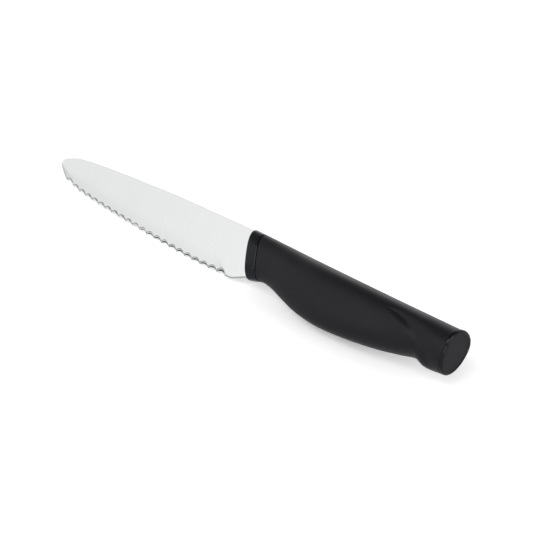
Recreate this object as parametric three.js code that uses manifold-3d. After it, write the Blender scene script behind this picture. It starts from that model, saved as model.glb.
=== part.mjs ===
// Serrated utility knife with a moulded handle.
// Knife axes: X runs from the tip to the butt, Y from the left face to the right, Z from the edge to the spine.
// X is 0 where the axis of the tang meets the front of the collar, Z is 0 on the line of the tooth points.
// At the end the knife leans back onto its edge and its belly, as it rests on a table.
import * as THREE from "three";
import { mergeVertices } from "three/addons/utils/BufferGeometryUtils.js";
import Module from "manifold-3d";

// Fits
const CLEARANCE = 0.3;
const SEAM = 0.3;

// Blade
const BLADE_LENGTH = 152;
const BLADE_THICKNESS = 1.6;
const SPINE_HEIGHT = 26.8;
const SPINE_DROP = 6.4;
const NOSE_HEIGHT = 11.7;
const NOSE_ROUND = 3.2;
const TIP_EDGE_LENGTH = 9.4;
const HEEL_LENGTH = 145;
const HEEL_RISE = 1.7;
const CHOIL_RISE = 6.6;

// Ground edge
const EDGE_LAND = 0.7;
const BEVEL_HEIGHT = 7;
const TOOTH_PITCH = 5.97;
const TOOTH_COUNT = 23;
const SCALLOP_DEPTH = 1.25;
const SCALLOP_ANGLE = 33;

// Tang and its pins
const TANG_AXIS = 16.6;
const TANG_HEIGHT = 12;
const TANG_LENGTH = 90;
const PIN_DIAMETER = 4.4;
const PIN_LENGTH = 10;
const PIN_FRONT = 34;
const PIN_REAR = TANG_LENGTH - 18;

// Collar
const COLLAR_LENGTH = 7;
const COLLAR_BOTTOM = 4.95;
const COLLAR_ROUND = 0.9;
const COLLAR_BACK_ROUND = 0.7;
const SPIGOT_LENGTH = 4;
const RAKE = 0.4;
const RAKE_RUN = 62;

// Grip
const GRIP_LENGTH = 112.4;
const GRIP_WALL = 2.4;
const GRIP_TOP = 27.5;
const BUTT_TOP = 29.15;
const NECK_BOTTOM = 6.85;
const BELLY_BOTTOM = 1.65;
const WAIST_BOTTOM = 9.95;
const LIP_BOTTOM = 8.6;
const BUTT_BOTTOM = 9.35;
const NECK_HALF = 6.0;
const BELLY_HALF = 10;
const BUTT_HALF = 8.8;
const HOLLOW_DEPTH = 0.1;
const HOLLOW_EDGE = 8;

// End cap
const CAP_LENGTH = 1.2;
const CAP_ROUND = 0.8;
const CAP_RIM = 0.3;
const CAP_SINK = 0.2;
const CAP_PROUD = 0.45;
const PLUG_LENGTH = 6;

// How the knife rests, in degrees
const LEAN = 33;

// Fineness of the facets
const ROUND_STEPS = 48;
const BORE_ROUND_STEPS = 28;
const GRIP_STEPS = 45;
const BORE_STEPS = 24;
const EDGE_STEPS = 46;
const SPINE_STEPS = 30;
const SCALLOP_STEPS = 8;

const wasm = await Module();
wasm.setup();

// Solids and their cuts

function solid(geometry) {
  const bare = new THREE.BufferGeometry();
  bare.setAttribute("position", geometry.getAttribute("position"));
  bare.setIndex(geometry.index);
  const merged = mergeVertices(bare, 1e-5);
  return new wasm.Manifold(
    new wasm.Mesh({
      numProp: 3,
      vertProperties: new Float32Array(merged.getAttribute("position").array),
      triVerts: new Uint32Array(merged.index.array),
    }),
  );
}

function part(name, body, material) {
  const mesh = body.getMesh();
  const geometry = new THREE.BufferGeometry();
  geometry.setAttribute("position", new THREE.BufferAttribute(mesh.vertProperties, 3));
  geometry.setIndex(new THREE.BufferAttribute(mesh.triVerts, 1));
  geometry.computeVertexNormals();
  const made = new THREE.Mesh(geometry, material);
  made.name = name;
  return made;
}

// A smooth curve through points [x, y], read at any x and straight beyond the first and the last point.
function profile(points) {
  const last = points.length - 1;
  const slope = (i) => {
    const a = points[Math.max(i - 1, 0)];
    const b = points[Math.min(i + 1, last)];
    return (b[1] - a[1]) / (b[0] - a[0]);
  };
  return (x) => {
    if (x < points[0][0]) return points[0][1] + slope(0) * (x - points[0][0]);
    if (x > points[last][0]) return points[last][1] + slope(last) * (x - points[last][0]);
    let i = 0;
    while (i < last - 1 && x > points[i + 1][0]) i += 1;
    const [x0, y0] = points[i];
    const [x1, y1] = points[i + 1];
    const run = x1 - x0;
    const t = (x - x0) / run;
    const u = 1 - t;
    const start = (1 + 2 * t) * u * u * y0 + t * u * u * run * slope(i);
    const end = t * t * (3 - 2 * t) * y1 - t * t * u * run * slope(i + 1);
    return start + end;
  };
}

// A closed solid through rings of points, each ring with as many points and convex.
function loft(rings) {
  const count = rings[0].length;
  const points = rings.flat();
  const faces = [];
  for (let r = 0; r < rings.length - 1; r += 1) {
    for (let i = 0; i < count; i += 1) {
      const a = r * count + i;
      const b = r * count + ((i + 1) % count);
      faces.push(a, b, b + count, a, b + count, a + count);
    }
  }
  const back = (rings.length - 1) * count;
  for (let i = 1; i < count - 1; i += 1) {
    faces.push(0, i + 1, i, back, back + i, back + i + 1);
  }
  const geometry = new THREE.BufferGeometry().setFromPoints(points);
  geometry.setIndex(faces);
  const body = solid(geometry);
  if (body.volume() > 0) return body;
  for (let i = 0; i < faces.length; i += 3) {
    [faces[i + 1], faces[i + 2]] = [faces[i + 2], faces[i + 1]];
  }
  geometry.setIndex(faces);
  return solid(geometry);
}

// A sheet of a given thickness about the plane of the blade, from an outline in X and Z.
function sheet(outline, thickness, steps) {
  const geometry = new THREE.ExtrudeGeometry(outline, {
    depth: thickness,
    bevelEnabled: false,
    curveSegments: steps,
  });
  geometry.translate(0, 0, -thickness / 2);
  geometry.rotateX(Math.PI / 2);
  return solid(geometry);
}

function pin(diameter, length, x, z) {
  const geometry = new THREE.CylinderGeometry(diameter / 2, diameter / 2, length, 24);
  geometry.translate(x, 0, z);
  return solid(geometry);
}

// The handle's cross-section at any place: an egg, squarer at the belly, on a plane that is raked at the neck.
// The station is the distance along the tang's axis from the collar's front.

const gripStart = COLLAR_LENGTH + SEAM;
const gripEnd = gripStart + GRIP_LENGTH;

const topLine = profile([
  [0, GRIP_TOP],
  [0.34, THREE.MathUtils.lerp(GRIP_TOP, BUTT_TOP, 0.1)],
  [0.685, THREE.MathUtils.lerp(GRIP_TOP, BUTT_TOP, 0.485)],
  [1, BUTT_TOP],
]);

const underside = profile([
  [0, NECK_BOTTOM],
  [0.036, NECK_BOTTOM + 0.4],
  [0.095, NECK_BOTTOM - 0.2],
  [0.174, THREE.MathUtils.lerp(NECK_BOTTOM, BELLY_BOTTOM, 0.42)],
  [0.263, THREE.MathUtils.lerp(NECK_BOTTOM, BELLY_BOTTOM, 0.8)],
  [0.376, BELLY_BOTTOM],
  [0.47, THREE.MathUtils.lerp(BELLY_BOTTOM, WAIST_BOTTOM, 0.05)],
  [0.588, THREE.MathUtils.lerp(BELLY_BOTTOM, WAIST_BOTTOM, 0.22)],
  [0.7, THREE.MathUtils.lerp(BELLY_BOTTOM, WAIST_BOTTOM, 0.465)],
  [0.795, THREE.MathUtils.lerp(BELLY_BOTTOM, WAIST_BOTTOM, 0.755)],
  [0.874, WAIST_BOTTOM],
  [0.923, LIP_BOTTOM],
  [1, BUTT_BOTTOM],
]);

const sideLine = profile([
  [0, NECK_HALF],
  [0.075, NECK_HALF + 0.6],
  [0.194, THREE.MathUtils.lerp(NECK_HALF, BELLY_HALF, 0.58)],
  [0.322, THREE.MathUtils.lerp(NECK_HALF, BELLY_HALF, 0.9)],
  [0.44, BELLY_HALF],
  [0.588, THREE.MathUtils.lerp(BELLY_HALF, BUTT_HALF, 0.17)],
  [0.736, THREE.MathUtils.lerp(BELLY_HALF, BUTT_HALF, 0.5)],
  [1, BUTT_HALF],
]);

const upperSquareness = profile([
  [0, 2.4],
  [0.2, 2.4],
  [0.4, 3],
  [0.6, 2.8],
  [0.85, 2.2],
  [1, 2],
]);

const lowerSquareness = profile([
  [0, 3],
  [0.4, 3.2],
  [0.6, 3],
  [0.85, 2.3],
  [1, 2],
]);

const crownHeight = profile([
  [0, 0.52],
  [0.4, 0.58],
  [1, 0.62],
]);

function rakeAt(station) {
  const run = THREE.MathUtils.clamp(1 - station / RAKE_RUN, 0, 1);
  return RAKE * run * run;
}

// Where the flank starts to draw in behind the belly: the share of the grip's length, by the share of the butt's height.
const hollowLine = profile([
  [0.16, 0.92],
  [0.38, 0.88],
  [0.55, 0.835],
  [0.64, 0.795],
  [0.74, 0.727],
]);

// How much of the half width the flank loses there: it draws in at the line and comes out again to the butt.
function hollowAt(x, z) {
  const height = (z - BUTT_BOTTOM) / (BUTT_TOP - BUTT_BOTTOM);
  const start = gripStart + GRIP_LENGTH * hollowLine(THREE.MathUtils.clamp(height, 0, 0.74));
  const past = x - start;
  const drop = THREE.MathUtils.smoothstep(past, -HOLLOW_EDGE / 2, HOLLOW_EDGE / 2);
  const rise = THREE.MathUtils.smoothstep(past / Math.max(gripEnd - start, 1), 0, 1);
  const fade = THREE.MathUtils.smoothstep(height, 0.71, 0.88);
  return HOLLOW_DEPTH * drop * (1 - rise) * (1 - fade);
}

// One ring of the handle: size holds the top, the bottom, the half width and the shape of the egg.
function ring(station, rake, size, steps) {
  const points = [];
  const middle = THREE.MathUtils.lerp(size.bottom, size.top, size.crown);
  for (let i = 0; i < steps; i += 1) {
    const angle = (2 * Math.PI * (i + 0.5)) / steps;
    const across = Math.cos(angle);
    const up = Math.sin(angle);
    const power = 2 / (up > 0 ? size.upper : size.lower);
    const reach = up > 0 ? size.top - middle : middle - size.bottom;
    const z = middle + reach * Math.sign(up) * Math.abs(up) ** power;
    const x = station + (TANG_AXIS - z) * rake;
    const half = size.hollow ? size.half * (1 - hollowAt(x, z)) : size.half;
    const y = half * Math.sign(across) * Math.abs(across) ** power;
    points.push(new THREE.Vector3(x, y, z));
  }
  return points;
}

function gripSize(station, inset) {
  const along = THREE.MathUtils.clamp((station - gripStart) / GRIP_LENGTH, 0, 1);
  return {
    top: topLine(along) - inset,
    bottom: underside(along) + inset,
    half: sideLine(along) - inset,
    upper: upperSquareness(along),
    lower: lowerSquareness(along),
    crown: crownHeight(along),
    hollow: inset === 0,
  };
}

function gripLoft(from, to, inset, count, steps) {
  const rings = [];
  for (let i = 0; i <= count; i += 1) {
    const station = THREE.MathUtils.lerp(from, to, i / count);
    const rake = rakeAt(Math.max(station - gripStart, 0));
    rings.push(ring(station, rake, gripSize(station, inset), steps));
  }
  return loft(rings);
}

// Blade and tang

const edgeLine = profile([
  [0, NOSE_HEIGHT - NOSE_ROUND / 4],
  [4, 8],
  [9.4, 5],
  [15.4, 3.3],
  [22, 2.35],
  [45, 1.1],
  [75, 0.3],
  [100, 0],
  [122, 0.15],
  [HEEL_LENGTH, HEEL_RISE],
]);

const spineLine = profile([
  [NOSE_ROUND, SPINE_HEIGHT - SPINE_DROP - 4.7],
  [11.4, SPINE_HEIGHT - SPINE_DROP - 2.1],
  [28, SPINE_HEIGHT - SPINE_DROP],
  [53, SPINE_HEIGHT - SPINE_DROP * 0.69],
  [92, SPINE_HEIGHT - SPINE_DROP * 0.32],
  [BLADE_LENGTH, SPINE_HEIGHT],
]);

// The blade's shoulders lie along the raked front of the collar.
function shoulder(height) {
  return new THREE.Vector2((TANG_AXIS - height) * RAKE - SEAM, height);
}

function bladeOutline() {
  const outline = new THREE.Shape();
  outline.moveTo(HEEL_LENGTH - BLADE_LENGTH, HEEL_RISE);
  for (let i = 1; i <= EDGE_STEPS; i += 1) {
    const x = HEEL_LENGTH * (1 - i / EDGE_STEPS);
    outline.lineTo(x - BLADE_LENGTH, edgeLine(x));
  }
  const noseTop = spineLine(NOSE_ROUND);
  outline.quadraticCurveTo(
    -BLADE_LENGTH - NOSE_ROUND / 8,
    (NOSE_HEIGHT + noseTop) / 2 + NOSE_ROUND / 4,
    NOSE_ROUND - BLADE_LENGTH,
    noseTop,
  );
  const spineEnd = shoulder(SPINE_HEIGHT);
  const spineRun = spineEnd.x + BLADE_LENGTH - NOSE_ROUND;
  for (let i = 1; i <= SPINE_STEPS; i += 1) {
    const x = NOSE_ROUND + (spineRun * i) / SPINE_STEPS;
    outline.lineTo(x - BLADE_LENGTH, spineLine(x));
  }
  const tangTop = TANG_AXIS + TANG_HEIGHT / 2;
  const tangBottom = TANG_AXIS - TANG_HEIGHT / 2;
  const tangRound = TANG_HEIGHT / 4;
  const upper = shoulder(tangTop);
  const lower = shoulder(tangBottom);
  const choil = shoulder(CHOIL_RISE);
  outline.lineTo(upper.x, upper.y);
  outline.lineTo(TANG_LENGTH - tangRound, tangTop);
  outline.absarc(TANG_LENGTH - tangRound, tangTop - tangRound, tangRound, Math.PI / 2, 0, true);
  outline.absarc(TANG_LENGTH - tangRound, tangBottom + tangRound, tangRound, 0, -Math.PI / 2, true);
  outline.lineTo(lower.x, lower.y);
  outline.lineTo(choil.x, choil.y);
  outline.closePath();
  return outline;
}

// The wedge that thins one face towards the edge, narrow at the tip and run out before the heel.
function bevelCut(side) {
  const thinning = (BLADE_THICKNESS - EDGE_LAND) / 2;
  const beyond = 0.15;
  const outer = side * (BLADE_THICKNESS / 2 + beyond * thinning);
  const inner = side * (EDGE_LAND / 2 - beyond * thinning);
  const rings = [];
  const from = -3;
  const to = HEEL_LENGTH + 4;
  for (let i = 0; i <= EDGE_STEPS; i += 1) {
    const x = THREE.MathUtils.lerp(from, to, i / EDGE_STEPS);
    const rise = edgeLine(x + 0.5) - edgeLine(x - 0.5);
    const inward = new THREE.Vector2(-rise, 1).normalize();
    const start = THREE.MathUtils.smoothstep(x, -8, 24);
    const finish = THREE.MathUtils.smoothstep(HEEL_LENGTH - x, 0, 14);
    const height = BEVEL_HEIGHT * Math.max(start * finish, 0.1);
    const at = (y, depth) =>
      new THREE.Vector3(
        x - BLADE_LENGTH + inward.x * depth,
        y,
        edgeLine(x) + inward.y * depth,
      );
    rings.push([
      at(outer, height * (1 + beyond)),
      at(inner, -height * beyond),
      at(outer, -height * beyond),
    ]);
  }
  return loft(rings);
}

// One scallop: a trough of a round wheel, held at an angle to the left face, that leaves the edge on the right face.
function scallopCut(x) {
  const angle = THREE.MathUtils.degToRad(SCALLOP_ANGLE);
  const half = TOOTH_PITCH / 2;
  const depth = SCALLOP_DEPTH * Math.sin(angle);
  const radius = (half * half + depth * depth) / (2 * depth);
  const spread = Math.asin(Math.min(1.6 * half / radius, 0.9));
  const below = radius * (1 - Math.cos(spread));
  const reach = 8 * BLADE_THICKNESS;
  const trough = new THREE.Shape();
  const side = radius * Math.sin(spread);
  trough.moveTo(-side, -below - reach / 2);
  trough.lineTo(side, -below - reach / 2);
  trough.lineTo(side, -below);
  trough.absarc(0, -radius, radius, Math.PI / 2 - spread, Math.PI / 2 + spread, false);
  trough.closePath();
  const geometry = new THREE.ExtrudeGeometry(trough, {
    depth: reach,
    bevelEnabled: false,
    curveSegments: SCALLOP_STEPS * 2,
  });
  geometry.translate(0, 0, -reach / 2);
  geometry.rotateX(angle);
  geometry.translate(0, EDGE_LAND / 2, SCALLOP_DEPTH);
  const slope = edgeLine(x + half) - edgeLine(x - half);
  geometry.rotateY(-Math.atan2(slope, TOOTH_PITCH));
  geometry.translate(x - BLADE_LENGTH, 0, (edgeLine(x + half) + edgeLine(x - half)) / 2);
  return solid(geometry);
}

function buildBlade() {
  let body = sheet(bladeOutline(), BLADE_THICKNESS, 8);
  body = body.subtract(bevelCut(-1)).subtract(bevelCut(1));
  for (let i = 0; i < TOOTH_COUNT - 1; i += 1) {
    body = body.subtract(scallopCut(TIP_EDGE_LENGTH + TOOTH_PITCH * (i + 0.5)));
  }
  for (const x of [PIN_FRONT, PIN_REAR]) {
    body = body.subtract(pin(PIN_DIAMETER + 2 * CLEARANCE, 3 * BLADE_THICKNESS, x, TANG_AXIS));
  }
  return body;
}

// The room that the tang takes in the collar and the core.
function tangRoom() {
  const outline = new THREE.Shape();
  const top = TANG_AXIS + TANG_HEIGHT / 2 + CLEARANCE;
  const bottom = TANG_AXIS - TANG_HEIGHT / 2 - CLEARANCE;
  outline.moveTo(-COLLAR_LENGTH, bottom);
  outline.lineTo(TANG_LENGTH + CLEARANCE, bottom);
  outline.lineTo(TANG_LENGTH + CLEARANCE, top);
  outline.lineTo(-COLLAR_LENGTH, top);
  outline.closePath();
  return sheet(outline, BLADE_THICKNESS + 2 * CLEARANCE, 1);
}

// Collar, with a spigot that enters the grip

const boreInset = GRIP_WALL;
const insideInset = GRIP_WALL + CLEARANCE;
const spigotEnd = gripStart + SPIGOT_LENGTH;
const plugStart = gripEnd - PLUG_LENGTH;

function collarSize(along, inset) {
  return {
    top: GRIP_TOP - inset,
    bottom: THREE.MathUtils.lerp(COLLAR_BOTTOM, NECK_BOTTOM, along) + inset,
    half: NECK_HALF - inset,
    upper: upperSquareness(0),
    lower: lowerSquareness(0),
    crown: crownHeight(0),
  };
}

function buildCollar() {
  const rings = [];
  const add = (station, inset) => {
    rings.push(ring(station, RAKE, collarSize(station / COLLAR_LENGTH, inset), ROUND_STEPS));
  };
  for (const turn of [0, 0.25, 0.5, 0.75, 1]) {
    const angle = (turn * Math.PI) / 2;
    add(COLLAR_ROUND * (1 - Math.cos(angle)), COLLAR_ROUND * (1 - Math.sin(angle)));
  }
  for (const turn of [0, 0.33, 0.67, 1]) {
    const angle = (turn * Math.PI) / 2;
    add(COLLAR_LENGTH - COLLAR_BACK_ROUND * (1 - Math.sin(angle)), COLLAR_BACK_ROUND * (1 - Math.cos(angle)));
  }
  const spigot = gripLoft(COLLAR_LENGTH / 2, spigotEnd, insideInset, 5, BORE_ROUND_STEPS);
  return loft(rings).add(spigot).subtract(tangRoom());
}

// Core halves and pins

function buildCore() {
  let body = gripLoft(
    spigotEnd + CLEARANCE,
    plugStart - CLEARANCE,
    insideInset,
    BORE_STEPS,
    BORE_ROUND_STEPS,
  );
  body = body.subtract(tangRoom());
  for (const x of [PIN_FRONT, PIN_REAR]) {
    body = body.subtract(pin(PIN_DIAMETER + 2 * CLEARANCE, 4 * BELLY_HALF, x, TANG_AXIS));
  }
  return body;
}

function halfSpace(side) {
  const reach = BLADE_LENGTH + GRIP_LENGTH;
  const geometry = new THREE.BoxGeometry(2 * reach, reach, 2 * reach);
  geometry.translate(0, side * (reach / 2 + CLEARANCE / 2), 0);
  return solid(geometry);
}

// Grip: a sleeve with an open bore

function buildGrip() {
  const outer = gripLoft(gripStart, gripEnd, 0, GRIP_STEPS, ROUND_STEPS);
  const rings = [];
  for (let i = -1; i <= BORE_STEPS + 1; i += 1) {
    const station = THREE.MathUtils.lerp(gripStart, gripEnd, i / BORE_STEPS);
    const rake = rakeAt(Math.max(station - gripStart, 0));
    rings.push(ring(station, rake, gripSize(station, boreInset), BORE_ROUND_STEPS));
  }
  return outer.subtract(loft(rings));
}

// End cap with a rounded rim, a sunk face and a plug that enters the grip

function capSize(inset) {
  const butt = gripSize(gripEnd, inset);
  return { ...butt, top: butt.top + CAP_PROUD, hollow: false };
}

function buildCap() {
  const start = gripEnd + SEAM;
  const end = start + CAP_LENGTH;
  const rings = [];
  const add = (station, inset) => {
    rings.push(ring(station, 0, capSize(inset), ROUND_STEPS));
  };
  add(start, CAP_ROUND / 3);
  add(start + CAP_ROUND / 3, 0);
  for (const turn of [0, 0.25, 0.5, 0.75, 1]) {
    const angle = (turn * Math.PI) / 2;
    add(end - CAP_ROUND * (1 - Math.sin(angle)), CAP_ROUND * (1 - Math.cos(angle)));
  }
  const sunk = [end - CAP_SINK, end + CAP_SINK].map((station) =>
    ring(station, 0, capSize(CAP_ROUND + CAP_RIM), ROUND_STEPS),
  );
  const plug = gripLoft(plugStart, start + CAP_LENGTH / 2, insideInset, 4, BORE_ROUND_STEPS);
  return loft(rings).add(plug).subtract(loft(sunk));
}

// Finishes

const steel = new THREE.MeshStandardMaterial({ color: 0xdfe2e1, roughness: 0.32, metalness: 1 });
const pinSteel = new THREE.MeshStandardMaterial({ color: 0xb9bdc0, roughness: 0.4, metalness: 1 });
const glossBlack = new THREE.MeshStandardMaterial({ color: 0x17171a, roughness: 0.22, metalness: 0 });
const capBlack = new THREE.MeshStandardMaterial({ color: 0x28282b, roughness: 0.4, metalness: 0 });
const softBlack = new THREE.MeshStandardMaterial({ color: 0x242426, roughness: 0.65, metalness: 0 });
const hardBlack = new THREE.MeshStandardMaterial({ color: 0x2c2c2e, roughness: 0.5, metalness: 0 });

// Assembly

const core = buildCore();
const knife = new THREE.Group();
knife.add(part("blade", buildBlade(), steel));
knife.add(part("collar", buildCollar(), glossBlack));
knife.add(part("core_left", core.intersect(halfSpace(-1)), hardBlack));
knife.add(part("core_right", core.intersect(halfSpace(1)), hardBlack));
knife.add(part("tang_pin_front", pin(PIN_DIAMETER, PIN_LENGTH, PIN_FRONT, TANG_AXIS), pinSteel));
knife.add(part("tang_pin_rear", pin(PIN_DIAMETER, PIN_LENGTH, PIN_REAR, TANG_AXIS), pinSteel));
knife.add(part("grip", buildGrip(), softBlack));
knife.add(part("end_cap", buildCap(), capBlack));

// The knife leans back, and the middle of its footprint is the origin.
knife.rotation.x = -THREE.MathUtils.degToRad(LEAN);
const box = new THREE.Box3().setFromObject(knife, true);
const middle = box.getCenter(new THREE.Vector3());
knife.position.set(-middle.x, -middle.y, -box.min.z);

const scene = new THREE.Group();
scene.add(knife);

export default scene;
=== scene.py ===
"""Dresses the serrated utility knife: ground blade, gloss collar, soft grip and end cap on a white table.

Lengths are millimetres in the knife's own axes until a mesh is finished: X from the tip to the butt, 0
where the axis of the tang meets the front of the collar; Y from the left face to the right; Z from the
edge to the spine.
"""

from __future__ import annotations

import logging
import math
from dataclasses import dataclass, replace
from enum import Enum
from typing import Any, Sequence

import bmesh
import bpy
from bmesh.types import BMesh, BMEdge, BMVert
from mathutils import Matrix, Vector

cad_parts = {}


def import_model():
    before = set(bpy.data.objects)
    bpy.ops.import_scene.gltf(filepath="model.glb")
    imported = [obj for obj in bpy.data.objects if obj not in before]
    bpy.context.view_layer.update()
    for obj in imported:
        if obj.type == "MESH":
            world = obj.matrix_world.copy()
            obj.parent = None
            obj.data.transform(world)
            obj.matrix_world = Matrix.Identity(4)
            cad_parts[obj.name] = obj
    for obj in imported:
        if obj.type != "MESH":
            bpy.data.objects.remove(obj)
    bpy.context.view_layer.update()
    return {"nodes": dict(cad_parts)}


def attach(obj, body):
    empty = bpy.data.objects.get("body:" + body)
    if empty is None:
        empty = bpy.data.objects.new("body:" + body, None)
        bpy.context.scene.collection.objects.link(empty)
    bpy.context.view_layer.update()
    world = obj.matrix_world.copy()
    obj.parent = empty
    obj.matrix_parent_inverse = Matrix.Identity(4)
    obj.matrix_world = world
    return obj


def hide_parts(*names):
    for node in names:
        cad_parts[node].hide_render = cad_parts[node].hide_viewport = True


log = logging.getLogger("knife")

MM = 0.001

# Sockets of a Mix node that mixes colours
MIX_A, MIX_B, MIX_RESULT = 6, 7, 2


class Side(Enum):
    """The two faces of the blade; the value is the sign of Y."""

    LEFT = -1
    RIGHT = 1


def clamp(value: float, low: float = 0.0, high: float = 1.0) -> float:
    """Keeps a value between two limits."""
    return max(low, min(high, value))


def mix(a: float, b: float, share: float) -> float:
    """The value a share of the way from a to b."""
    return a + (b - a) * share


def ease(low: float, high: float, value: float) -> float:
    """A smooth step from 0 at low to 1 at high."""
    t = clamp((value - low) / (high - low))
    return t * t * (3.0 - 2.0 * t)


def srgb(code: str) -> tuple[float, float, float, float]:
    """Turns an sRGB hex colour into the linear colour that a shader takes.

    Args:
        code: six hex digits.

    Returns:
        Linear red, green, blue and an alpha of 1.
    """
    parts = [int(code[i : i + 2], 16) / 255.0 for i in (0, 2, 4)]
    red, green, blue = [p / 12.92 if p <= 0.04045 else ((p + 0.055) / 1.055) ** 2.4 for p in parts]
    return red, green, blue, 1.0


@dataclass(frozen=True)
class SmoothLine:
    """A smooth curve through points, read at any x and straight beyond its ends."""

    points: tuple[tuple[float, float], ...]

    def _slope(self, i: int) -> float:
        """The slope at a point, from its neighbours.

        Args:
            i: the point's number.

        Returns:
            The slope there.
        """
        a = self.points[max(i - 1, 0)]
        b = self.points[min(i + 1, len(self.points) - 1)]
        return (b[1] - a[1]) / (b[0] - a[0])

    def at(self, x: float) -> float:
        """Reads the curve.

        Args:
            x: place along the curve.

        Returns:
            The height there.
        """
        last = len(self.points) - 1
        if x <= self.points[0][0]:
            return self.points[0][1] + self._slope(0) * (x - self.points[0][0])
        if x >= self.points[last][0]:
            return self.points[last][1] + self._slope(last) * (x - self.points[last][0])
        i = max(k for k in range(last) if self.points[k][0] <= x)
        (x0, y0), (x1, y1) = self.points[i], self.points[i + 1]
        run = x1 - x0
        t = (x - x0) / run
        u = 1.0 - t
        start = (1.0 + 2.0 * t) * u * u * y0 + t * u * u * run * self._slope(i)
        return start + t * t * (3.0 - 2.0 * t) * y1 - t * t * u * run * self._slope(i + 1)


@dataclass(frozen=True)
class Stance:
    """How the knife lies in the row frame: leaning back, belly on the table, edge just clear of it."""

    lean: float = math.radians(33.0)
    shift: tuple[float, float, float] = (15.4188, -8.2613, 1.0431)

    def matrix(self) -> Matrix:
        """The step from the knife's own axes in millimetres to the row frame in metres."""
        turn = Matrix.Rotation(-self.lean, 4, "X")
        return Matrix.Scale(MM, 4) @ Matrix.Translation(Vector(self.shift)) @ turn


# Finishes


def add_node(
    tree: bpy.types.NodeTree,
    kind: str,
    settings: dict[str, Any] | None = None,
    inputs: dict[str | int, Any] | None = None,
) -> bpy.types.Node:
    """Adds one shader node, with its settings, its constants and its links.

    Args:
        tree: the node tree.
        kind: the node's type name.
        settings: attribute values of the node.
        inputs: for each input socket, a constant or the output socket that feeds it.

    Returns:
        The new node.
    """
    node = tree.nodes.new(kind)
    for key, value in (settings or {}).items():
        setattr(node, key, value)
    for key, value in (inputs or {}).items():
        if isinstance(value, bpy.types.NodeSocket):
            tree.links.new(value, node.inputs[key])
        else:
            node.inputs[key].default_value = value
    return node


@dataclass(frozen=True)
class Finish:
    """A surface finish: what the material is, how it was made, and its procedural shader."""

    name: str
    colour: str
    roughness: float
    metallic: float = 0.0
    ior: float = 1.5

    def start(self) -> tuple[bpy.types.Material, bpy.types.NodeTree, bpy.types.Node]:
        """Makes the material with its shader.

        Returns:
            The material, its node tree and its shader node.
        """
        material = bpy.data.materials.new(self.name)
        material.use_nodes = True
        tree = material.node_tree
        shader = next(n for n in tree.nodes if n.type == "BSDF_PRINCIPLED")
        shader.inputs["Base Color"].default_value = srgb(self.colour)
        shader.inputs["Roughness"].default_value = self.roughness
        shader.inputs["Metallic"].default_value = self.metallic
        shader.inputs["IOR"].default_value = self.ior
        return material, tree, shader


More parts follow.
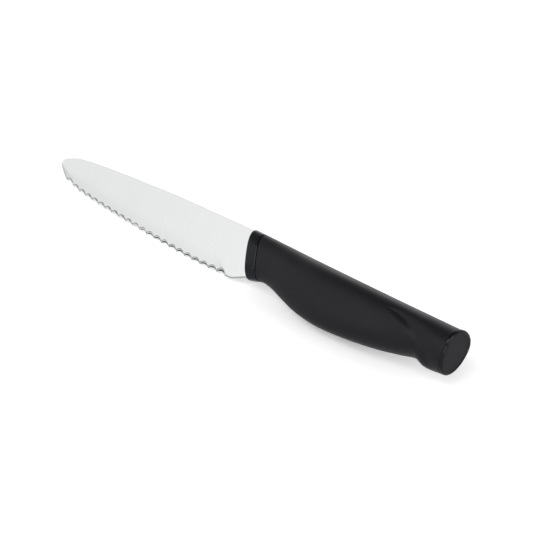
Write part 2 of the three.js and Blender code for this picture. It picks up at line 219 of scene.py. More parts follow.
@dataclass(frozen=True)
class GroundSteel(Finish):
    """Ground steel: fine grinding lines across the piece blur what it reflects, and a colour ramp paints
    shade, reflections and a shadow into the scallops.

    The lines lie wider apart than on the real sheet, so that they show in the render.
    """

    line_spacing: float = 0.35
    line_length: float = 9.0
    line_tone: float = 0.05
    relief: float = 0.004
    strength: float = 0.12
    cloud: float = 28.0
    cloud_share: float = 0.5
    noise_span: tuple[float, float] = (0.4, 1.1)
    spread: float = 0.05
    # The arch colour is a painted dark reflection, the hollow colour a painted bright reflection and the lip
    # colour a painted shadow of the table under the blade.
    arch_shade_band: tuple[float, float] = (0.03, 0.12)
    hollow_reflection_band: tuple[float, float] = (0.2, 0.34)
    lip_shadow_start: float = 0.45
    arch_shade_colour: str = "8E9291"
    hollow_reflection_colour: str = "F0F2F1"
    lip_shadow_colour: str = "505453"

    def material(self) -> bpy.types.Material:
        """Builds the steel with lines that run from the spine to the edge.

        Returns:
            The material.
        """
        material, tree, shader = self.start()
        place = add_node(tree, "ShaderNodeTexCoord")
        turned = add_node(
            tree,
            "ShaderNodeMapping",
            inputs={"Vector": place.outputs["Object"], "Rotation": (Stance().lean, 0.0, 0.0)},
        )
        stretched = add_node(
            tree,
            "ShaderNodeVectorMath",
            {"operation": "MULTIPLY"},
            {
                0: turned.outputs["Vector"],
                1: (1.0 / (self.line_spacing * MM), 0.0, 1.0 / (self.line_length * MM)),
            },
        )
        lines = add_node(
            tree,
            "ShaderNodeTexNoise",
            inputs={"Vector": stretched.outputs["Vector"], "Scale": 1.0, "Detail": 3.0, "Roughness": 0.6},
        )
        cloud = add_node(
            tree,
            "ShaderNodeTexNoise",
            inputs={"Vector": place.outputs["Object"], "Scale": 1.0 / (self.cloud * MM), "Detail": 2.0},
        )
        both = add_node(
            tree,
            "ShaderNodeMath",
            {"operation": "MULTIPLY_ADD"},
            {0: cloud.outputs["Fac"], 1: self.cloud_share, 2: lines.outputs["Fac"]},
        )
        rough = add_node(
            tree,
            "ShaderNodeMapRange",
            inputs={
                "Value": both.outputs["Value"],
                "From Min": self.noise_span[0],
                "From Max": self.noise_span[1],
                "To Min": self.roughness - self.spread,
                "To Max": self.roughness + self.spread,
            },
        )
        bump = add_node(
            tree,
            "ShaderNodeBump",
            inputs={"Height": lines.outputs["Fac"], "Strength": self.strength, "Distance": self.relief * MM},
        )
        tree.links.new(rough.outputs["Result"], shader.inputs["Roughness"])
        tree.links.new(bump.outputs["Normal"], shader.inputs["Normal"])
        shade = add_node(
            tree,
            "ShaderNodeMix",
            {"data_type": "RGBA", "blend_type": "MULTIPLY"},
            {"Factor": self.line_tone, MIX_A: self.paint_scallop_shade(tree), MIX_B: lines.outputs["Color"]},
        )
        tree.links.new(shade.outputs[MIX_RESULT], shader.inputs["Base Color"])
        return material

    def paint_scallop_shade(self, tree: bpy.types.NodeTree) -> bpy.types.NodeSocket:
        """Paints light and shade into the steel's colour from each vertex's place on a ramp: painted shade
        just above the edge, a painted dark reflection along the arch where the wheel bit in, a painted
        bright reflection in the hollow, and a painted shadow at the lip where the shaded table shows through
        the notch.

        Args:
            tree: the material's node tree.

        Returns:
            The socket that gives the steel's colour.
        """
        depth = add_node(tree, "ShaderNodeAttribute", {"attribute_name": "scallop_shade"})
        ramp = add_node(tree, "ShaderNodeValToRGB", inputs={"Fac": depth.outputs["Fac"]})
        stops = ramp.color_ramp.elements
        stops[0].position, stops[0].color = 0.0, srgb(self.colour)
        stops[1].position, stops[1].color = self.arch_shade_band[0], srgb(self.arch_shade_colour)
        bands = (
            (self.arch_shade_band[1], self.arch_shade_colour),
            (self.hollow_reflection_band[0], self.hollow_reflection_colour),
            (self.hollow_reflection_band[1], self.hollow_reflection_colour),
            (self.lip_shadow_start, self.lip_shadow_colour),
        )
        for place, colour in bands:
            stops.new(place).color = srgb(colour)
        return ramp.outputs["Color"]


@dataclass(frozen=True)
class MouldedPlastic(Finish):
    """Moulded plastic or elastomer: a fine grain from the mould, and a slightly uneven sheen and colour.

    The grain is coarser than the real one, so that it shows in the render.
    """

    grain: float = 0.25
    relief: float = 0.01
    strength: float = 0.2
    patch: float = 18.0
    noise_span: tuple[float, float] = (0.3, 0.7)
    spread: float = 0.05
    patch_colour: str = "121217"

    def material(self) -> bpy.types.Material:
        """Builds the plastic with its mould grain.

        Returns:
            The material.
        """
        material, tree, shader = self.start()
        place = add_node(tree, "ShaderNodeTexCoord")
        grain = add_node(
            tree,
            "ShaderNodeTexNoise",
            inputs={"Vector": place.outputs["Object"], "Scale": 1.0 / (self.grain * MM), "Detail": 2.0},
        )
        patch = add_node(
            tree,
            "ShaderNodeTexNoise",
            inputs={"Vector": place.outputs["Object"], "Scale": 1.0 / (self.patch * MM), "Detail": 3.0},
        )
        rough = add_node(
            tree,
            "ShaderNodeMapRange",
            inputs={
                "Value": patch.outputs["Fac"],
                "From Min": self.noise_span[0],
                "From Max": self.noise_span[1],
                "To Min": self.roughness - self.spread,
                "To Max": self.roughness + self.spread,
            },
        )
        bump = add_node(
            tree,
            "ShaderNodeBump",
            inputs={"Height": grain.outputs["Fac"], "Strength": self.strength, "Distance": self.relief * MM},
        )
        shade = add_node(
            tree,
            "ShaderNodeMix",
            {"data_type": "RGBA"},
            {"Factor": patch.outputs["Fac"], MIX_A: srgb(self.colour), MIX_B: srgb(self.patch_colour)},
        )
        tree.links.new(shade.outputs[MIX_RESULT], shader.inputs["Base Color"])
        tree.links.new(rough.outputs["Result"], shader.inputs["Roughness"])
        tree.links.new(bump.outputs["Normal"], shader.inputs["Normal"])
        return material


# Meshes


def finish_piece(
    bm: BMesh,
    name: str,
    materials: Sequence[bpy.types.Material],
    sharp: float,
    replaces: str,
) -> bpy.types.Object:
    """Args:
        bm: the mesh in the knife's own axes, in millimetres.
        name: the piece's name.
        materials: its finishes, by the faces' material index.
        sharp: edges that turn by more than this many degrees stay sharp.
        replaces: the CAD node that the piece stands for.

    Returns:
        The piece.
    """
    bm.normal_update()
    for edge in bm.edges:
        edge.smooth = edge.calc_face_angle(0.0) < math.radians(sharp)
    for face in bm.faces:
        face.smooth = True
    bm.transform(Stance().matrix())
    mesh = bpy.data.meshes.new(name)
    bm.to_mesh(mesh)
    bm.free()
    for material in materials:
        mesh.materials.append(material)
    piece = bpy.data.objects.new(name, mesh)
    bpy.context.scene.collection.objects.link(piece)
    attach(piece, "root")
    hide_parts(replaces)
    log.info("%s: %d faces", name, len(mesh.polygons))
    return piece


@dataclass(frozen=True)
class Blade:
    """The blade: a tapered sheet with a rounded nose, hollow-ground scallops and a plain heel.

    Its tang lies hidden in the handle and is not drawn.
    """

    length: float = 152.0
    thickness: float = 1.6
    edge_land: float = 0.7
    bevel_height: float = 7.0
    bevel_run_in: tuple[float, float] = (-8.0, 24.0)
    bevel_run_out: float = 14.0
    least_bevel: float = 0.1
    nose_round: float = 3.2
    nose_pull: tuple[float, float] = (-0.4, 14.5)
    heel: float = 145.0
    choil_slope: float = 0.44
    first_tooth: float = 9.4
    pitch: float = 5.97
    scallops: int = 22
    scallop_depth: float = 1.25
    scallop_angle: float = math.radians(33.0)
    spine_round: float = 0.08
    least_sheet: float = 0.02
    # Painted shade: the left face darkens just above the edge; the tone fields below shape the painted shade
    # in the scallops.
    edge_band: float = 4.2
    edge_shade: float = 0.025
    edge_shade_reach: tuple[float, float] = (0.2, 0.6)
    tone_slopes: tuple[float, float] = (0.9, 0.12)
    tone_turn: tuple[float, float] = (-0.35, 0.05)
    tone_bite: float = 0.03
    tone_most: float = 0.3
    tone_change: tuple[float, float] = (60.0, 95.0)
    tooth_fade: tuple[float, float] = (0.32, 0.48)
    rake: float = 0.4
    tang_axis: float = 16.6
    tip_columns: int = 36
    tip_crowding: float = 1.7
    plain_columns: int = 10
    neck_columns: int = 12
    columns_per_scallop: int = 22
    edge_rows: int = 26
    face_rows: int = 12
    edge_line: SmoothLine = SmoothLine(
        (
            (0.0, 10.9),
            (4.0, 8.0),
            (9.4, 5.0),
            (15.4, 3.3),
            (22.0, 2.35),
            (45.0, 1.1),
            (75.0, 0.3),
            (100.0, 0.0),
            (122.0, 0.15),
            (145.0, 1.7),
        )
    )
    spine_line: SmoothLine = SmoothLine(
        ((3.2, 15.7), (11.4, 18.3), (28.0, 20.4), (53.0, 22.38), (92.0, 24.75), (152.0, 26.8))
    )
    # Stainless sheet ground to a satin: pale, soft reflections, with painted shade and painted reflections
    # in the hollows along the edge
    finish: GroundSteel = GroundSteel("satin_ground_stainless", "E1E3E2", 0.3, 1.0)

    def stations(self) -> list[float]:
        """Places of the mesh columns: close together at the nose and along the scallops.

        Returns:
            The distances from the tip, in order.
        """
        count = self.tip_columns
        tip = [self.first_tooth * (i / count) ** self.tip_crowding for i in range(count)]
        last_tooth = self.first_tooth + self.pitch * self.scallops
        count = self.scallops * self.columns_per_scallop
        teeth = [mix(self.first_tooth, last_tooth, i / count) for i in range(count)]
        plain = [mix(last_tooth, self.heel, i / self.plain_columns) for i in range(self.plain_columns)]
        neck = [mix(self.heel, self.length, i / self.neck_columns) for i in range(self.neck_columns + 1)]
        return tip + teeth + plain + neck

    def scallop_place(self, d: float) -> float | None:
        """How far a place along the edge lies from the middle of its scallop.

        Args:
            d: distance from the tip.

        Returns:
            The distance, or None where the edge is plain.
        """
        number = math.floor((d - self.first_tooth) / self.pitch)
        if number < 0 or number >= self.scallops:
            return None
        return d - self.first_tooth - self.pitch * (number + 0.5)

    def scallop_sag(self, off: float) -> float:
        """How far the grinding wheel's round lies below its crown.

        Args:
            off: distance from the scallop's middle.

        Returns:
            The drop.
        """
        half = self.pitch / 2.0
        depth = self.scallop_depth * math.sin(self.scallop_angle)
        radius = (half * half + depth * depth) / (2.0 * depth)
        return radius - math.sqrt(radius * radius - off * off)

    def scallop_shade_tone(self, d: float, off: float, cut: float) -> float:
        """Where a place in a scallop lies on the steel's colour ramp of painted shade and painted
        reflection.

        Args:
            d: distance from the tip.
            off: distance from the scallop's middle, towards the heel.
            cut: how deep the wheel cut into the face.

        Returns:
            The place on the ramp.
        """
        across = off / self.pitch
        slope = mix(*self.tone_slopes, ease(*self.tone_turn, across))
        past_bite = max(cut - self.tone_bite, 0.0)
        tipward = min(min(cut, self.tone_bite) + past_bite * slope, self.tone_most)
        heelward = cut * (1.0 - ease(*self.tooth_fade, abs(across)))
        return mix(tipward, heelward, ease(*self.tone_change, d))

    def bottom(self, d: float) -> float:
        """The height of the lower outline.

        Args:
            d: distance from the tip.

        Returns:
            The height there.
        """
        if d > self.heel:
            share = (d - self.heel) / (self.length - self.heel)
            run = d - self.heel + self.tang_axis * self.rake * share
            start = self.edge_line.at(self.heel)
            return (start + self.choil_slope * run) / (1.0 + self.choil_slope * self.rake * share)
        off = self.scallop_place(d)
        if off is None:
            return self.edge_line.at(d)
        sag = self.scallop_sag(off) / math.sin(self.scallop_angle)
        return self.edge_line.at(d) + self.scallop_depth - sag

    def top(self, d: float) -> float:
        """The height of the spine, with the nose rounded.

        Args:
            d: distance from the tip.

        Returns:
            The height there.
        """
        if d >= self.nose_round:
            return self.spine_line.at(d)
        pull, height = self.nose_pull
        a, b = self.nose_round - 2.0 * pull, 2.0 * pull
        t = (math.sqrt(b * b + 4.0 * a * d) - b) / (2.0 * a)
        u = 1.0 - t
        low, high = self.edge_line.points[0][1], self.spine_line.points[0][1]
        return u * u * low + 2.0 * t * u * height + t * t * high

    def half_thickness(self, d: float, above: float) -> float:
        """Half the sheet's thickness, thinner on the bevel.

        Args:
            d: distance from the tip.
            above: height above the tooth line.

        Returns:
            Half the thickness there.
        """
        begin = ease(*self.bevel_run_in, d)
        end = ease(0.0, self.bevel_run_out, self.heel - d)
        height = self.bevel_height * max(begin * end, self.least_bevel)
        share = 1.0 if d > self.heel else clamp(above / height)
        return mix(self.edge_land, self.thickness, share) / 2.0

    def surface(self, d: float, row: int, side: Side) -> tuple[Vector, float]:
        """One point of the blade's skin and its painted shade.

        Args:
            d: the column's distance from the tip.
            row: the row, counted from the edge.
            side: the face.

        Returns:
            The point in the knife's own axes, and its place on the steel's colour ramp of painted shade.
        """
        low, high = self.bottom(d), self.top(d)
        dense = min(self.edge_band, (high - low) / 2.0)
        if row <= self.edge_rows:
            z = low + dense * row / self.edge_rows
        elif row < self.edge_rows + self.face_rows:
            share = (row - self.edge_rows) / (self.face_rows - 1)
            z = mix(low + dense, high - self.spine_round, share)
        else:
            z = high
        z = min(z, high)
        above = z - self.edge_line.at(min(d, self.heel))
        y = side.value * self.half_thickness(d, above)
        if row == self.edge_rows + self.face_rows:
            y -= side.value * self.spine_round
        tone = 0.0
        # Painted shade on the left face: by the wheel's cut in the scallops, and darker just above the edge
        # elsewhere.
        off = self.scallop_place(d)
        if side is Side.LEFT and off is not None:
            rise = (above - self.scallop_depth) * math.sin(self.scallop_angle)
            ground = self.edge_land / 2.0 - (self.scallop_sag(off) + rise) / math.cos(self.scallop_angle)
            plain = y
            y = max(y, min(ground, self.half_thickness(d, above) - self.least_sheet))
            tone = self.scallop_shade_tone(d, off, y - plain)
        elif side is Side.LEFT:
            tone = self.edge_shade * (1.0 - ease(*self.edge_shade_reach, z - low))
        share = clamp((d - self.heel) / (self.length - self.heel))
        x = d - self.length + (self.tang_axis - z) * self.rake * share
        return Vector((x, y, z)), tone

    def build(self) -> bpy.types.Object:
        """Shapes the blade from a flat grid that gets a thickness.

        Returns:
            The blade.
        """
        stations = self.stations()
        rows = self.edge_rows + self.face_rows
        bm = bmesh.new()
        bmesh.ops.create_grid(bm, x_segments=len(stations) - 1, y_segments=rows, size=0.5)
        bmesh.ops.solidify(bm, geom=bm.faces[:], thickness=1.0)
        middle = sum(v.co.z for v in bm.verts) / len(bm.verts)
        # Each vertex keeps its place on the ramp of painted shade and painted reflection.
        scallop_shade = bm.verts.layers.float.new("scallop_shade")
        for vert in bm.verts:
            column = round((vert.co.x + 0.5) * (len(stations) - 1))
            row = round((vert.co.y + 0.5) * rows)
            side = Side.LEFT if vert.co.z > middle else Side.RIGHT
            vert.co, vert[scallop_shade] = self.surface(stations[column], row, side)
        bmesh.ops.remove_doubles(bm, verts=bm.verts[:], dist=0.002)
        bmesh.ops.recalc_face_normals(bm, faces=bm.faces[:])
        return finish_piece(bm, "blade_ground", [self.finish.material()], 14.0, "blade")


@dataclass(frozen=True)
class Section:
    """One cross-section of the handle: an egg on a plane that may be raked."""

    station: float
    rake: float
    top: float
    bottom: float
    half: float
    upper_square: float
    lower_square: float
    crown: float

    def inset(self, by: float) -> "Section":
        """The same section, smaller by a wall."""
        return replace(self, top=self.top - by, bottom=self.bottom + by, half=self.half - by)

    def at(self, station: float) -> "Section":
        """The same section at another place."""
        return replace(self, station=station)


@dataclass(frozen=True)
class HandleForm:
    """The handle's shape from the collar to the end cap, shared by its pieces."""

    axis: float = 16.6
    rake: float = 0.4
    rake_run: float = 62.0
    start: float = 7.3
    length: float = 112.4
    top: SmoothLine = SmoothLine(((0.0, 27.5), (0.34, 27.66), (0.685, 28.3), (1.0, 29.15)))
    underside: SmoothLine = SmoothLine(
        (
            (0.0, 6.85),
            (0.036, 7.25),
            (0.095, 6.65),
            (0.174, 4.666),
            (0.263, 2.69),
            (0.376, 1.65),
            (0.47, 2.065),
            (0.588, 3.476),
            (0.7, 5.51),
            (0.795, 7.9165),
            (0.874, 9.95),
            (0.923, 8.6),
            (1.0, 9.35),
        )
    )
    side: SmoothLine = SmoothLine(
        (
            (0.0, 6.0),
            (0.075, 6.6),
            (0.194, 8.32),
            (0.322, 9.6),
            (0.44, 10.0),
            (0.588, 9.8),
            (0.736, 9.4),
            (1.0, 8.8),
        )
    )
    upper_square: SmoothLine = SmoothLine(
        ((0.0, 2.4), (0.2, 2.4), (0.4, 3.0), (0.6, 2.8), (0.85, 2.2), (1.0, 2.0))
    )
    lower_square: SmoothLine = SmoothLine(((0.0, 3.0), (0.4, 3.2), (0.6, 3.0), (0.85, 2.3), (1.0, 2.0)))
    crown: SmoothLine = SmoothLine(((0.0, 0.52), (0.4, 0.58), (1.0, 0.62)))
    hollow_line: SmoothLine = SmoothLine(
        ((0.16, 0.92), (0.38, 0.88), (0.55, 0.835), (0.64, 0.795), (0.74, 0.727))
    )
    hollow_depth: float = 0.135
    hollow_edge: float = 8.5
    hollow_top: float = 0.74
    hollow_fade: tuple[float, float] = (0.71, 0.88)
    shave: float = 0.05

    def section(self, station: float) -> Section:
        """The handle's outer section at a place along the axis.

        Args:
            station: distance from the collar's front along the tang's axis.

        Returns:
            The section.
        """
        along = clamp((station - self.start) / self.length)
        run = clamp(1.0 - max(station - self.start, 0.0) / self.rake_run)
        return Section(
            station,
            self.rake * run * run,
            self.top.at(along),
            self.underside.at(along),
            self.side.at(along),
            self.upper_square.at(along),
            self.lower_square.at(along),
            self.crown.at(along),
        ).inset(self.shave)

    def hollow(self, x: float, z: float) -> float:
        """How much the flank draws in behind the belly, ahead of the flared butt.

        Args:
            x: place along the knife.
            z: height on the flank.

        Returns:
            The share of the half width that is lost.
        """
        low, high = self.underside.at(1.0), self.top.at(1.0)
        height = (z - low) / (high - low)
        share = self.hollow_line.at(clamp(height, 0.0, self.hollow_top))
        past = x - self.start - self.length * share
        drop = ease(-self.hollow_edge / 2.0, self.hollow_edge / 2.0, past)
        rise = ease(0.0, 1.0, past / max(self.length * (1.0 - share), 1.0))
        fade = ease(*self.hollow_fade, height)
        return self.hollow_depth * drop * (1.0 - rise) * (1.0 - fade)

    def point(self, section: Section, turn: float) -> Vector:
        """One point on the rim of a section.

        Args:
            section: the section.
            turn: angle round the section, 0 on the right and a quarter turn at the top.

        Returns:
            The point in the knife's own axes.
        """
        across, up = math.cos(turn), math.sin(turn)
        middle = mix(section.bottom, section.top, section.crown)
        power = 2.0 / (section.upper_square if up > 0.0 else section.lower_square)
        reach = section.top - middle if up > 0.0 else middle - section.bottom
        y = section.half * math.copysign(abs(across) ** power, across)
        z = middle + reach * math.copysign(abs(up) ** power, up)
        x = section.station + (self.axis - z) * section.rake
        return Vector((x, y * (1.0 - self.hollow(x, z)), z))

    def skin(self, bm: BMesh, sections: Sequence[Section], segments: int, closed: bool = False) -> None:
        """Draws a row of sections out into a skin, each ring out of the one before it.

        Args:
            bm: the mesh.
            sections: the sections in order.
            segments: points round each ring.
            closed: joins the last ring to the first; otherwise both ends get a face.
        """
        turn = bm.verts.layers.float.new("turn")
        ring = bmesh.ops.create_circle(bm, cap_ends=False, segments=segments, radius=1.0)
        for vert in ring["verts"]:
            vert[turn] = math.atan2(vert.co.y, vert.co.x)
            vert.co = self.point(sections[0], vert[turn])
        first: list[BMEdge] = bm.edges[:]
        edges = first
        for section in sections[1:]:
            made = bmesh.ops.extrude_edge_only(bm, edges=edges)["geom"]
            edges = [item for item in made if isinstance(item, BMEdge)]
            for vert in (item for item in made if isinstance(item, BMVert)):
                vert.co = self.point(section, vert[turn])
        if closed:
            bmesh.ops.bridge_loops(bm, edges=edges + first)
        else:
            bmesh.ops.holes_fill(bm, edges=[edge for edge in bm.edges if edge.is_boundary], sides=0)
        bm.verts.layers.float.remove(turn)
        bmesh.ops.recalc_face_normals(bm, faces=bm.faces[:])
        if bm.calc_volume(signed=True) < 0.0:
            bmesh.ops.reverse_faces(bm, faces=bm.faces[:])


@dataclass(frozen=True)
class Collar:
    """The gloss ring in front of the grip, with rounded edges and a spigot."""

    form: HandleForm = HandleForm()
    length: float = 7.0
    front_bottom: float = 4.95
    edge_round: float = 0.9
    back_length: float = 0.6
    back_round: float = 0.5
    spigot: float = 3.6
    round_steps: int = 6
    side_steps: int = 5
    back_steps: int = 8
    wall: float = 2.7
    segments: int = 96
    # ABS from a polished mould: mirror-like, with a faint waviness
    finish: MouldedPlastic = MouldedPlastic(
        "polished_black_abs", "06060E", 0.09, ior=1.31, grain=6.0, relief=0.02, strength=0.1, spread=0.02
    )

    def section(self, station: float, inset: float) -> Section:
        """The collar's section, deeper at the front.

        Args:
            station: distance from the collar's front.
            inset: how far the rim lies inside the collar's skin.

        Returns:
            The section.
        """
        neck = self.form.section(self.form.start)
        bottom = mix(self.front_bottom, neck.bottom, station / self.length)
        return replace(neck, station=station, rake=self.form.rake, bottom=bottom).inset(inset)

    def build(self) -> bpy.types.Object:
        """Skins the collar from its front face to the end of its spigot.

        Returns:
            The collar.
        """
        sections = []
        for i in range(self.round_steps + 1):
            turn = i / self.round_steps * math.pi / 2
            back = self.edge_round * (1.0 - math.cos(turn))
            sections.append(self.section(back, self.edge_round * (1.0 - math.sin(turn))))
        for i in range(1, self.side_steps):
            place = mix(self.edge_round, self.length - self.back_length, i / self.side_steps)
            sections.append(self.section(place, 0.0))
        for i in range(self.back_steps + 1):
            turn = i / self.back_steps * math.pi / 2
            place = self.length - self.back_length * (1.0 - math.sin(turn))
            sections.append(self.section(place, self.back_round * (1.0 - math.cos(turn))))
        sections.append(self.section(self.length, self.wall))
        sections.append(self.form.section(self.form.start + self.spigot).inset(self.wall))
        bm = bmesh.new()
        self.form.skin(bm, sections, self.segments)
        return finish_piece(bm, "collar_gloss", [self.finish.material()], 32.0, "collar")


@dataclass(frozen=True)
class Grip:
    """The soft sleeve with its finger notch, belly, waist and flared butt."""

    form: HandleForm = HandleForm()
    wall: float = 2.4
    lip: float = 0.35
    rings: int = 200
    inner_rings: int = 9
    segments: int = 192
    # Elastomer from a fine-grained mould: a soft, even sheen
    finish: MouldedPlastic = MouldedPlastic(
        "soft_black_elastomer", "0E0E13", 0.42, ior=1.29, grain=0.3, relief=0.02, strength=0.25
    )

    def build(self) -> bpy.types.Object:
        """Skins the sleeve outside and inside.

        Returns:
            The grip.
        """
        first, last = self.form.start, self.form.start + self.form.length
        sections = [self.form.section(first).inset(self.wall), self.form.section(first).inset(self.lip)]
        for i in range(self.rings + 1):
            station = mix(first + self.lip, last - self.lip, i / self.rings)
            sections.append(self.form.section(station))
        sections.append(self.form.section(last).inset(self.lip))
        for i in range(self.inner_rings):
            station = mix(last, first, i / self.inner_rings)
            sections.append(self.form.section(station).inset(self.wall))
        bm = bmesh.new()
        self.form.skin(bm, sections, self.segments, closed=True)
        return finish_piece(bm, "grip_soft", [self.finish.material()], 40.0, "grip")


@dataclass(frozen=True)
class EndCap:
    """The cap that closes the butt: a rounded rim round a sunk face, and a plug."""

    form: HandleForm = HandleForm()
    seam: float = 0.12
    length: float = 1.36
    edge_round: float = 1.1
    rim: float = 0.3
    sink: float = 0.2
    proud: float = 0.4
    foot_round: float = 0.05
    face_draft: float = 0.15
    round_steps: int = 6
    plug: float = 6.0
    wall: float = 2.7
    segments: int = 96
    # ABS from a polished mould: a thin bright line where the rim turns
    rim_finish: MouldedPlastic = MouldedPlastic(
        "polished_black_abs_rim", "060607", 0.12, ior=1.3, grain=6.0, relief=0.02, strength=0.1, spread=0.02
    )
    # ABS from a fine-etched mould: a flat dark grey
    face_finish: MouldedPlastic = MouldedPlastic(
        "matt_moulded_black_abs", "0E0E12", 0.42, ior=1.26, grain=0.5, relief=0.01, strength=0.2
    )

    def build(self) -> bpy.types.Object:
        """Skins the cap from its plug to its sunk face.

        Returns:
            The end cap.
        """
        end_of_grip = self.form.section(self.form.start + self.form.length)
        butt = replace(end_of_grip, top=end_of_grip.top + self.proud)
        start = butt.station + self.seam
        end = start + self.length
        sections = [
            self.form.section(butt.station - self.plug).inset(self.wall),
            end_of_grip.inset(self.wall),
            end_of_grip.at(start).inset(self.wall),
            butt.at(start).inset(self.foot_round),
            butt.at(start + self.foot_round),
        ]
        for i in range(self.round_steps + 1):
            turn = i / self.round_steps * math.pi / 2
            place = end - self.edge_round * (1.0 - math.sin(turn))
            sections.append(butt.at(place).inset(self.edge_round * (1.0 - math.cos(turn))))
        inner = self.edge_round + self.rim
        sections.append(butt.at(end).inset(inner))
        sections.append(butt.at(end - self.sink).inset(inner + self.face_draft))
        bm = bmesh.new()
        self.form.skin(bm, sections, self.segments)
        for face in bm.faces:
            if len(face.verts) > 4 and face.calc_center_median().x > start:
                face.material_index = 1
        finishes = [self.rim_finish.material(), self.face_finish.material()]
        return finish_piece(bm, "end_cap_moulded", finishes, 32.0, "end_cap")


# Studio


@dataclass(frozen=True)
class Softbox:
    """A flat oblong lamp with an even face."""

    name: str
    place: tuple[float, float, float]
    aim: tuple[float, float, float]
    size: tuple[float, float]
    power: float

    def build(self) -> None:
        """Adds the lamp, turned to its aim."""
        data = bpy.data.lights.new(self.name, "AREA")
        data.shape = "RECTANGLE"
        data.size, data.size_y = self.size
        data.energy = self.power
        lamp = bpy.data.objects.new(self.name, data)
        lamp.location = self.place
        lamp.rotation_euler = (Vector(self.aim) - Vector(self.place)).to_track_quat("-Z", "Y").to_euler()
        bpy.context.scene.collection.objects.link(lamp)


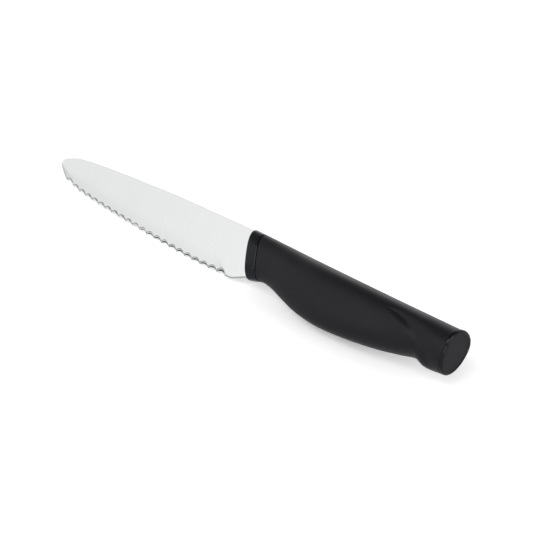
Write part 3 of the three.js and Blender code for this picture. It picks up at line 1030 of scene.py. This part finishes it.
@dataclass(frozen=True)
class Studio:
    """White table, soft light and the camera at the photograph's angle."""

    floor_reach: float = 14.0
    floor_colour: str = "EEEEEE"
    seen_colour: str = "FAFAFA"
    floor_glow: float = 0.29
    mirrored_glow: float = 0.02
    world_colour: str = "FFFFFF"
    wall_strength: float = 0.86
    ceiling_strength: float = 0.22
    ceiling_span: tuple[float, float] = (0.42, 0.85)
    foot_level: float = 0.86
    foot_span: tuple[float, float] = (0.05, 0.45)
    gap_toward: tuple[float, float, float] = (0.2, -0.88, 0.42)
    gap_reach: float = math.radians(32.0)
    gap_level: float = 0.1
    camera_place: tuple[float, float, float] = (0.41295, -0.351005, 0.301452)
    azimuth: float = math.radians(47.84)
    elevation: float = math.radians(28.89)
    lens: float = 87.8
    sensor: float = 36.0
    far_clip: float = 100.0
    lamps: tuple[Softbox, ...] = (
        Softbox("front_softbox", (0.35, -1.0, 1.25), (0.1, 0.0, 0.0), (1.4, 0.8), 12.0),
        Softbox("right_softbox", (1.3, 0.1, 0.6), (0.0, 0.0, 0.0), (0.9, 0.8), 7.0),
        Softbox("camera_fill", (1.05, -1.0, 0.22), (0.0, 0.0, 0.0), (0.3, 0.42), 3.2),
        Softbox("back_wall", (-0.95, 1.0, 0.2), (0.0, 0.0, 0.1), (2.6, 0.45), 3.2),
        Softbox("card_near", (-0.6, -1.2, 0.5), (0.0, 0.0, 0.0), (0.4, 0.7), 1.0),
        Softbox("card_low", (-0.25, -1.3, 0.35), (0.0, 0.0, 0.0), (0.7, 0.6), 0.4),
        Softbox("card_far", (-1.0, -0.69, 0.46), (-0.068, 0.093, 0.0), (0.72, 0.6), 0.4),
    )

    def build_floor(self) -> None:
        """Lays the table: a wide disc with a slight glow for the eye, white but keeping the shadow."""
        bm = bmesh.new()
        bmesh.ops.create_circle(bm, cap_ends=True, segments=96, radius=self.floor_reach)
        mesh = bpy.data.meshes.new("table")
        bm.to_mesh(mesh)
        bm.free()
        floor = bpy.data.objects.new("table", mesh)
        bpy.context.scene.collection.objects.link(floor)
        material, tree, shader = Finish("white_table", self.floor_colour, 0.9).start()
        shader.inputs["Specular IOR Level"].default_value = 0.0
        ray = add_node(tree, "ShaderNodeLightPath")
        bounced = add_node(
            tree,
            "ShaderNodeMath",
            {"operation": "MAXIMUM"},
            {0: ray.outputs["Is Glossy Ray"], 1: ray.outputs["Is Transmission Ray"]},
        )
        mirrored = add_node(
            tree,
            "ShaderNodeMath",
            {"operation": "MULTIPLY"},
            {0: bounced.outputs["Value"], 1: self.mirrored_glow},
        )
        glow = add_node(
            tree,
            "ShaderNodeMath",
            {"operation": "MULTIPLY_ADD"},
            {0: ray.outputs["Is Camera Ray"], 1: self.floor_glow, 2: mirrored.outputs["Value"]},
        )
        seen = add_node(
            tree,
            "ShaderNodeMix",
            {"data_type": "RGBA"},
            {
                "Factor": ray.outputs["Is Camera Ray"],
                MIX_A: srgb(self.floor_colour),
                MIX_B: srgb(self.seen_colour),
            },
        )
        tree.links.new(seen.outputs[MIX_RESULT], shader.inputs["Base Color"])
        shader.inputs["Emission Color"].default_value = (1.0, 1.0, 1.0, 1.0)
        tree.links.new(glow.outputs["Value"], shader.inputs["Emission Strength"])
        mesh.materials.append(material)

    def build_world(self) -> None:
        """Fills the room with light: walls dimmer at the foot, a dim ceiling and a dark gap in front."""
        world = bpy.data.worlds.new("studio")
        world.use_nodes = True
        bpy.context.scene.world = world
        tree = world.node_tree
        sky = next(n for n in tree.nodes if n.type == "BACKGROUND")
        sky.inputs["Color"].default_value = srgb(self.world_colour)
        place = add_node(tree, "ShaderNodeTexCoord")
        split = add_node(tree, "ShaderNodeSeparateXYZ", inputs={"Vector": place.outputs["Generated"]})
        height = add_node(
            tree,
            "ShaderNodeMapRange",
            {"interpolation_type": "SMOOTHSTEP"},
            {
                "Value": split.outputs["Z"],
                "From Min": self.ceiling_span[0],
                "From Max": self.ceiling_span[1],
                "To Min": self.wall_strength,
                "To Max": self.ceiling_strength,
            },
        )
        toward = add_node(
            tree,
            "ShaderNodeVectorMath",
            {"operation": "DOT_PRODUCT"},
            {0: place.outputs["Generated"], 1: Vector(self.gap_toward).normalized()},
        )
        gap = add_node(
            tree,
            "ShaderNodeMapRange",
            {"interpolation_type": "SMOOTHSTEP"},
            {
                "Value": toward.outputs["Value"],
                "From Min": math.cos(self.gap_reach),
                "From Max": math.cos(self.gap_reach / 2.0),
                "To Min": 1.0,
                "To Max": self.gap_level,
            },
        )
        foot = add_node(
            tree,
            "ShaderNodeMapRange",
            {"interpolation_type": "SMOOTHSTEP"},
            {
                "Value": split.outputs["Z"],
                "From Min": self.foot_span[0],
                "From Max": self.foot_span[1],
                "To Min": self.foot_level,
                "To Max": 1.0,
            },
        )
        wall = add_node(
            tree,
            "ShaderNodeMath",
            {"operation": "MULTIPLY"},
            {0: height.outputs["Result"], 1: foot.outputs["Result"]},
        )
        level = add_node(
            tree,
            "ShaderNodeMath",
            {"operation": "MULTIPLY"},
            {0: wall.outputs["Value"], 1: gap.outputs["Result"]},
        )
        tree.links.new(level.outputs["Value"], sky.inputs["Strength"])

    def build_camera(self) -> None:
        """Sets the camera at the photograph's place, with no roll."""
        data = bpy.data.cameras.new("photo_camera")
        data.lens = self.lens
        data.sensor_width = self.sensor
        data.clip_end = self.far_clip
        camera = bpy.data.objects.new("photo_camera", data)
        camera.location = self.camera_place
        camera.rotation_euler = (math.pi / 2.0 - self.elevation, 0.0, self.azimuth)
        bpy.context.scene.collection.objects.link(camera)
        bpy.context.scene.camera = camera

    def build(self) -> None:
        """Sets up the whole studio."""
        bpy.context.scene.view_settings.view_transform = "Standard"
        self.build_floor()
        self.build_world()
        self.build_camera()
        for lamp in self.lamps:
            lamp.build()


def dress_inside(nodes: dict[str, bpy.types.Object]) -> None:
    """Gives the CAD pieces inside the handle their finishes.

    Args:
        nodes: the CAD nodes by name.
    """
    # Nylon from a plain mould: dull dark grey
    core = MouldedPlastic("moulded_core_nylon", "2C2C2E", 0.5, grain=0.4).material()
    # Drawn wire: fine lines and a dull shine
    pin = GroundSteel("drawn_pin_steel", "B9BDC0", 0.35, 1.0, line_spacing=0.2, line_length=4.0).material()
    for name, material in (
        ("core_left", core),
        ("core_right", core),
        ("tang_pin_front", pin),
        ("tang_pin_rear", pin),
    ):
        slots = nodes[name].data.materials
        slots.clear()
        slots.append(material)


def main() -> None:
    """Builds the studio and the knife."""
    logging.basicConfig(level=logging.INFO, format="%(name)s: %(message)s")
    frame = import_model()
    Studio().build()
    for part in (Blade(), Collar(), Grip(), EndCap()):
        part.build()
    dress_inside(frame["nodes"])


if __name__ == "__main__":
    main()
